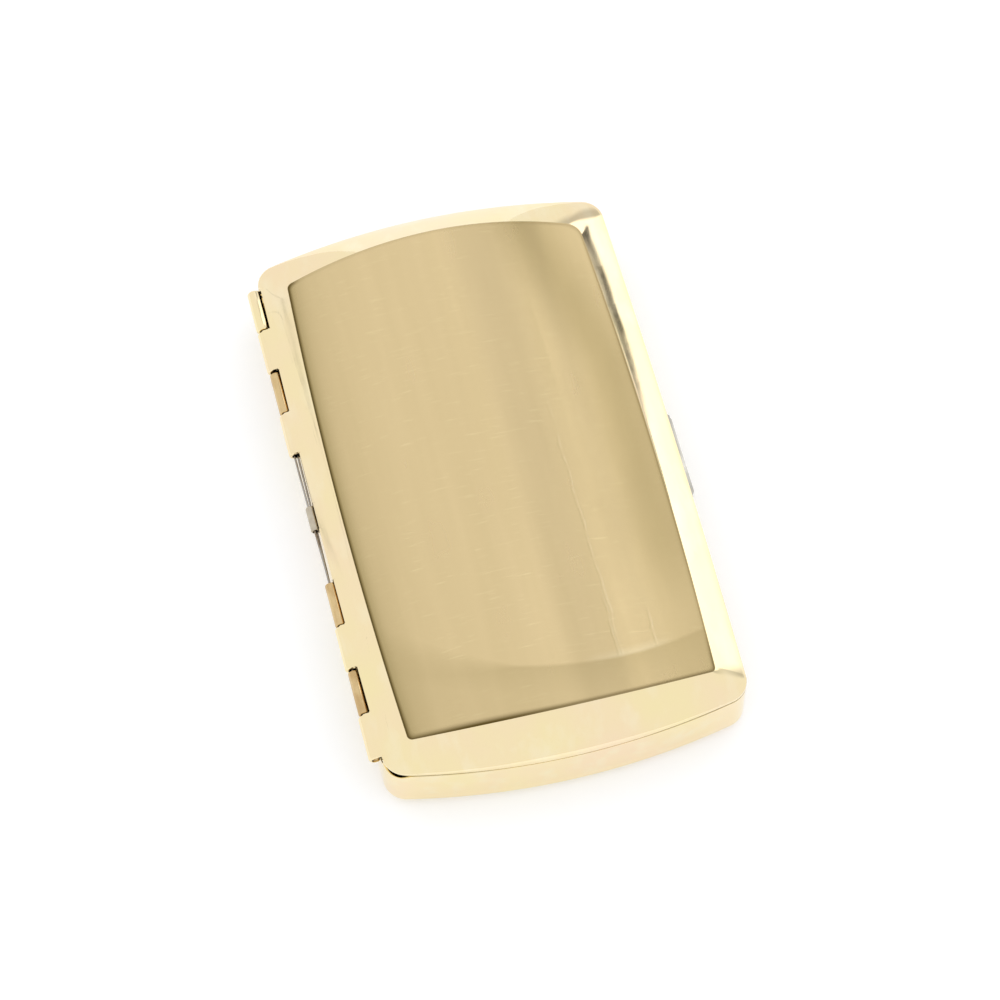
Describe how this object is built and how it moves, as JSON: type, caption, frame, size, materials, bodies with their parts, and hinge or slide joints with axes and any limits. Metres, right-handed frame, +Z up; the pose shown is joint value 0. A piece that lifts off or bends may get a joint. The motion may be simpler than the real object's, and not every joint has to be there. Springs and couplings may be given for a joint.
{
  "type": "cigarette case",
  "caption": "Slim sheet-metal pocket case with a crowned satin lid, side hinge with spring wires, sliding thumb latch and an elastic band over one row of cigarettes.",
  "frame": {"origin": "middle of the bounding box's footprint, on the surface that the closed case rests on", "axes": "+Z up through the lid, +Y along the case, +X across it from the hinge towards the thumb latch"},
  "size_m": [0.0586, 0.096, 0.0158],
  "materials": {
    "gold_plate": "gold plate over brass, polished, with a lengthwise satin brush on the lid's panel",
    "plain_brass": "bare rolled brass, lightly dulled",
    "spring_steel": "drawn spring steel, grey",
    "bright_steel": "plated steel, rubbed bright by the thumb",
    "elastic_web": "flat woven elastic"
  },
  "bodies": {
    "base": {"base_shell": "gold_plate", "hinge_wire_inner": "spring_steel", "hinge_wire_outer": "spring_steel", "wire_clip": "spring_steel", "base_anchor_plug": "plain_brass", "latch_bracket": "plain_brass", "latch_cover": "plain_brass", "latch_post_far": "plain_brass", "latch_post_near": "plain_brass", "latch_spring": "spring_steel", "rim_guide_far": "plain_brass", "rim_guide_near": "plain_brass", "rim_guide_side_far": "plain_brass", "rim_guide_side_near": "plain_brass", "band_clip_hinge": "plain_brass", "band_clip_latch": "plain_brass", "elastic_band": "elastic_web"},
    "lid": {"lid_shell": "gold_plate", "lid_anchor_plug": "plain_brass", "lid_catch": "plain_brass"},
    "thumb": {"thumb_slide": "bright_steel"}
  },
  "joints": [
    {"name": "lid_hinge", "type": "hinge", "parent": "base", "child": "lid", "pos_m": [-0.02828, 0, 0.00996], "axis": [0, -1, 0], "range_deg": [0, 170]},
    {"name": "thumb_press", "type": "slide", "parent": "base", "child": "thumb", "axis": [-1, 0, 0], "range_m": [0, 0.0006], "stiffness_N_per_m": 2000, "springref_m": -0.0004, "deforming": ["latch_spring"]}
  ]
}
